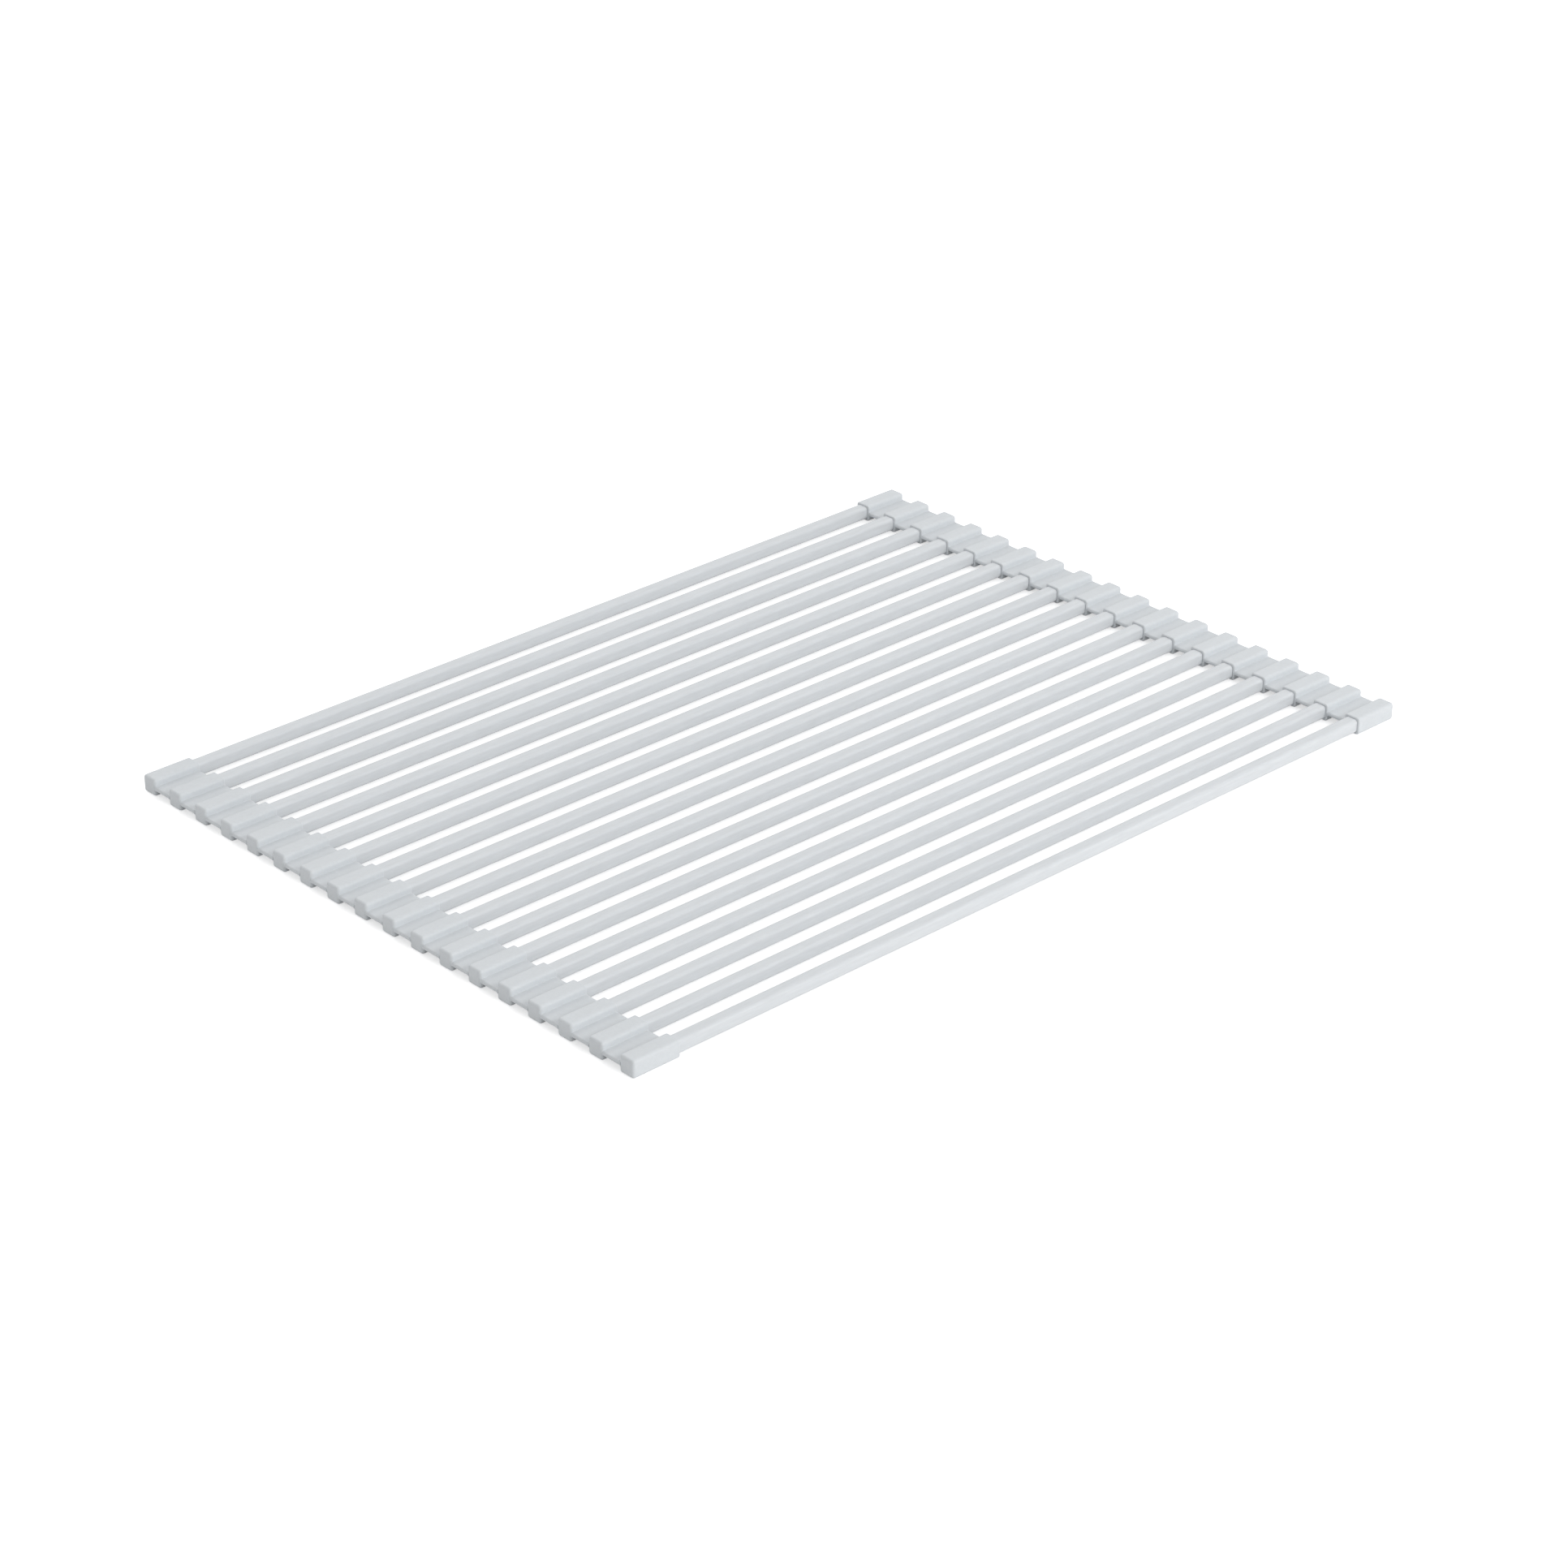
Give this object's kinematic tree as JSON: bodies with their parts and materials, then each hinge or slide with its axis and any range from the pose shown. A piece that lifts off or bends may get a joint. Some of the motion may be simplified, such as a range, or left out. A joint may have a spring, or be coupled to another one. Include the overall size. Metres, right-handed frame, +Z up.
{
  "type": "roll up dish drying rack",
  "caption": "Flat dish drying rack of square coated steel rods held side by side in two flexible end strips, so that it rolls up for storage.",
  "frame": {"origin": "middle of the rack, on the surface that it rests on", "axes": "+X along the rods to the right end strip, -Y towards the front row, +Z up"},
  "size_m": [0.45, 0.3212, 0.0082],
  "materials": {
    "silicone_strip": "matt moulded silicone",
    "silicone_coat": "smooth satin silicone",
    "steel_tube": "drawn tube, as made"
  },
  "bodies": {
    "row_01": {"rod_core_01": "steel_tube", "rod_coat_01": "silicone_coat", "end_blocks_01": "silicone_strip"},
    "row_02": {"rod_core_02": "steel_tube", "rod_coat_02": "silicone_coat", "end_blocks_02": "silicone_strip"},
    "row_03": {"rod_core_03": "steel_tube", "rod_coat_03": "silicone_coat", "end_blocks_03": "silicone_strip"},
    "row_04": {"rod_core_04": "steel_tube", "rod_coat_04": "silicone_coat", "end_blocks_04": "silicone_strip"},
    "row_05": {"rod_core_05": "steel_tube", "rod_coat_05": "silicone_coat", "end_blocks_05": "silicone_strip"},
    "row_06": {"rod_core_06": "steel_tube", "rod_coat_06": "silicone_coat", "end_blocks_06": "silicone_strip"},
    "row_07": {"rod_core_07": "steel_tube", "rod_coat_07": "silicone_coat", "end_blocks_07": "silicone_strip"},
    "row_08": {"rod_core_08": "steel_tube", "rod_coat_08": "silicone_coat", "end_blocks_08": "silicone_strip"},
    "row_09": {"rod_core_09": "steel_tube", "rod_coat_09": "silicone_coat", "end_blocks_09": "silicone_strip"},
    "row_10": {"rod_core_10": "steel_tube", "rod_coat_10": "silicone_coat", "end_blocks_10": "silicone_strip"},
    "row_11": {"rod_core_11": "steel_tube", "rod_coat_11": "silicone_coat", "end_blocks_11": "silicone_strip"},
    "row_12": {"rod_core_12": "steel_tube", "rod_coat_12": "silicone_coat", "end_blocks_12": "silicone_strip"},
    "row_13": {"rod_core_13": "steel_tube", "rod_coat_13": "silicone_coat", "end_blocks_13": "silicone_strip"},
    "row_14": {"rod_core_14": "steel_tube", "rod_coat_14": "silicone_coat", "end_blocks_14": "silicone_strip"},
    "row_15": {"rod_core_15": "steel_tube", "rod_coat_15": "silicone_coat", "end_blocks_15": "silicone_strip"},
    "row_16": {"rod_core_16": "steel_tube", "rod_coat_16": "silicone_coat", "end_blocks_16": "silicone_strip"},
    "row_17": {"rod_core_17": "steel_tube", "rod_coat_17": "silicone_coat", "end_blocks_17": "silicone_strip"},
    "row_18": {"rod_core_18": "steel_tube", "rod_coat_18": "silicone_coat", "end_blocks_18": "silicone_strip"}
  },
  "joints": [
    {"name": "web_bend_01", "type": "hinge", "parent": "row_01", "child": "row_02", "pos_m": [0, 0.1472, 0.0038], "axis": [-1, 0, 0], "range_deg": [-31, 31], "stiffness_Nm_per_rad": 0.013},
    {"name": "web_bend_02", "type": "hinge", "parent": "row_02", "child": "row_03", "pos_m": [0, 0.1288, 0.0038], "axis": [-1, 0, 0], "range_deg": [-32, 32], "stiffness_Nm_per_rad": 0.013},
    {"name": "web_bend_03", "type": "hinge", "parent": "row_03", "child": "row_04", "pos_m": [0, 0.1104, 0.0038], "axis": [-1, 0, 0], "range_deg": [-33, 33], "stiffness_Nm_per_rad": 0.013},
    {"name": "web_bend_04", "type": "hinge", "parent": "row_04", "child": "row_05", "pos_m": [0, 0.092, 0.0038], "axis": [-1, 0, 0], "range_deg": [-34, 34], "stiffness_Nm_per_rad": 0.013},
    {"name": "web_bend_05", "type": "hinge", "parent": "row_05", "child": "row_06", "pos_m": [0, 0.0736, 0.0038], "axis": [-1, 0, 0], "range_deg": [-35, 35], "stiffness_Nm_per_rad": 0.013},
    {"name": "web_bend_06", "type": "hinge", "parent": "row_06", "child": "row_07", "pos_m": [0, 0.0552, 0.0038], "axis": [-1, 0, 0], "range_deg": [-36, 36], "stiffness_Nm_per_rad": 0.013},
    {"name": "web_bend_07", "type": "hinge", "parent": "row_07", "child": "row_08", "pos_m": [0, 0.0368, 0.0038], "axis": [-1, 0, 0], "range_deg": [-37, 37], "stiffness_Nm_per_rad": 0.013},
    {"name": "web_bend_08", "type": "hinge", "parent": "row_08", "child": "row_09", "pos_m": [0, 0.0184, 0.0038], "axis": [-1, 0, 0], "range_deg": [-39, 39], "stiffness_Nm_per_rad": 0.013},
    {"name": "web_bend_09", "type": "hinge", "parent": "row_09", "child": "row_10", "pos_m": [0, 0, 0.0038], "axis": [-1, 0, 0], "range_deg": [-41, 41], "stiffness_Nm_per_rad": 0.013},
    {"name": "web_bend_10", "type": "hinge", "parent": "row_10", "child": "row_11", "pos_m": [0, -0.0184, 0.0038], "axis": [-1, 0, 0], "range_deg": [-42, 42], "stiffness_Nm_per_rad": 0.013},
    {"name": "web_bend_11", "type": "hinge", "parent": "row_11", "child": "row_12", "pos_m": [0, -0.0368, 0.0038], "axis": [-1, 0, 0], "range_deg": [-45, 45], "stiffness_Nm_per_rad": 0.013},
    {"name": "web_bend_12", "type": "hinge", "parent": "row_12", "child": "row_13", "pos_m": [0, -0.0552, 0.0038], "axis": [-1, 0, 0], "range_deg": [-47, 47], "stiffness_Nm_per_rad": 0.013},
    {"name": "web_bend_13", "type": "hinge", "parent": "row_13", "child": "row_14", "pos_m": [0, -0.0736, 0.0038], "axis": [-1, 0, 0], "range_deg": [-50, 50], "stiffness_Nm_per_rad": 0.013},
    {"name": "web_bend_14", "type": "hinge", "parent": "row_14", "child": "row_15", "pos_m": [0, -0.092, 0.0038], "axis": [-1, 0, 0], "range_deg": [-54, 54], "stiffness_Nm_per_rad": 0.013},
    {"name": "web_bend_15", "type": "hinge", "parent": "row_15", "child": "row_16", "pos_m": [0, -0.1104, 0.0038], "axis": [-1, 0, 0], "range_deg": [-59, 59], "stiffness_Nm_per_rad": 0.013},
    {"name": "web_bend_16", "type": "hinge", "parent": "row_16", "child": "row_17", "pos_m": [0, -0.1288, 0.0038], "axis": [-1, 0, 0], "range_deg": [-66, 66], "stiffness_Nm_per_rad": 0.013},
    {"name": "web_bend_17", "type": "hinge", "parent": "row_17", "child": "row_18", "pos_m": [0, -0.1472, 0.0038], "axis": [-1, 0, 0], "range_deg": [-76, 76], "stiffness_Nm_per_rad": 0.013}
  ]
}
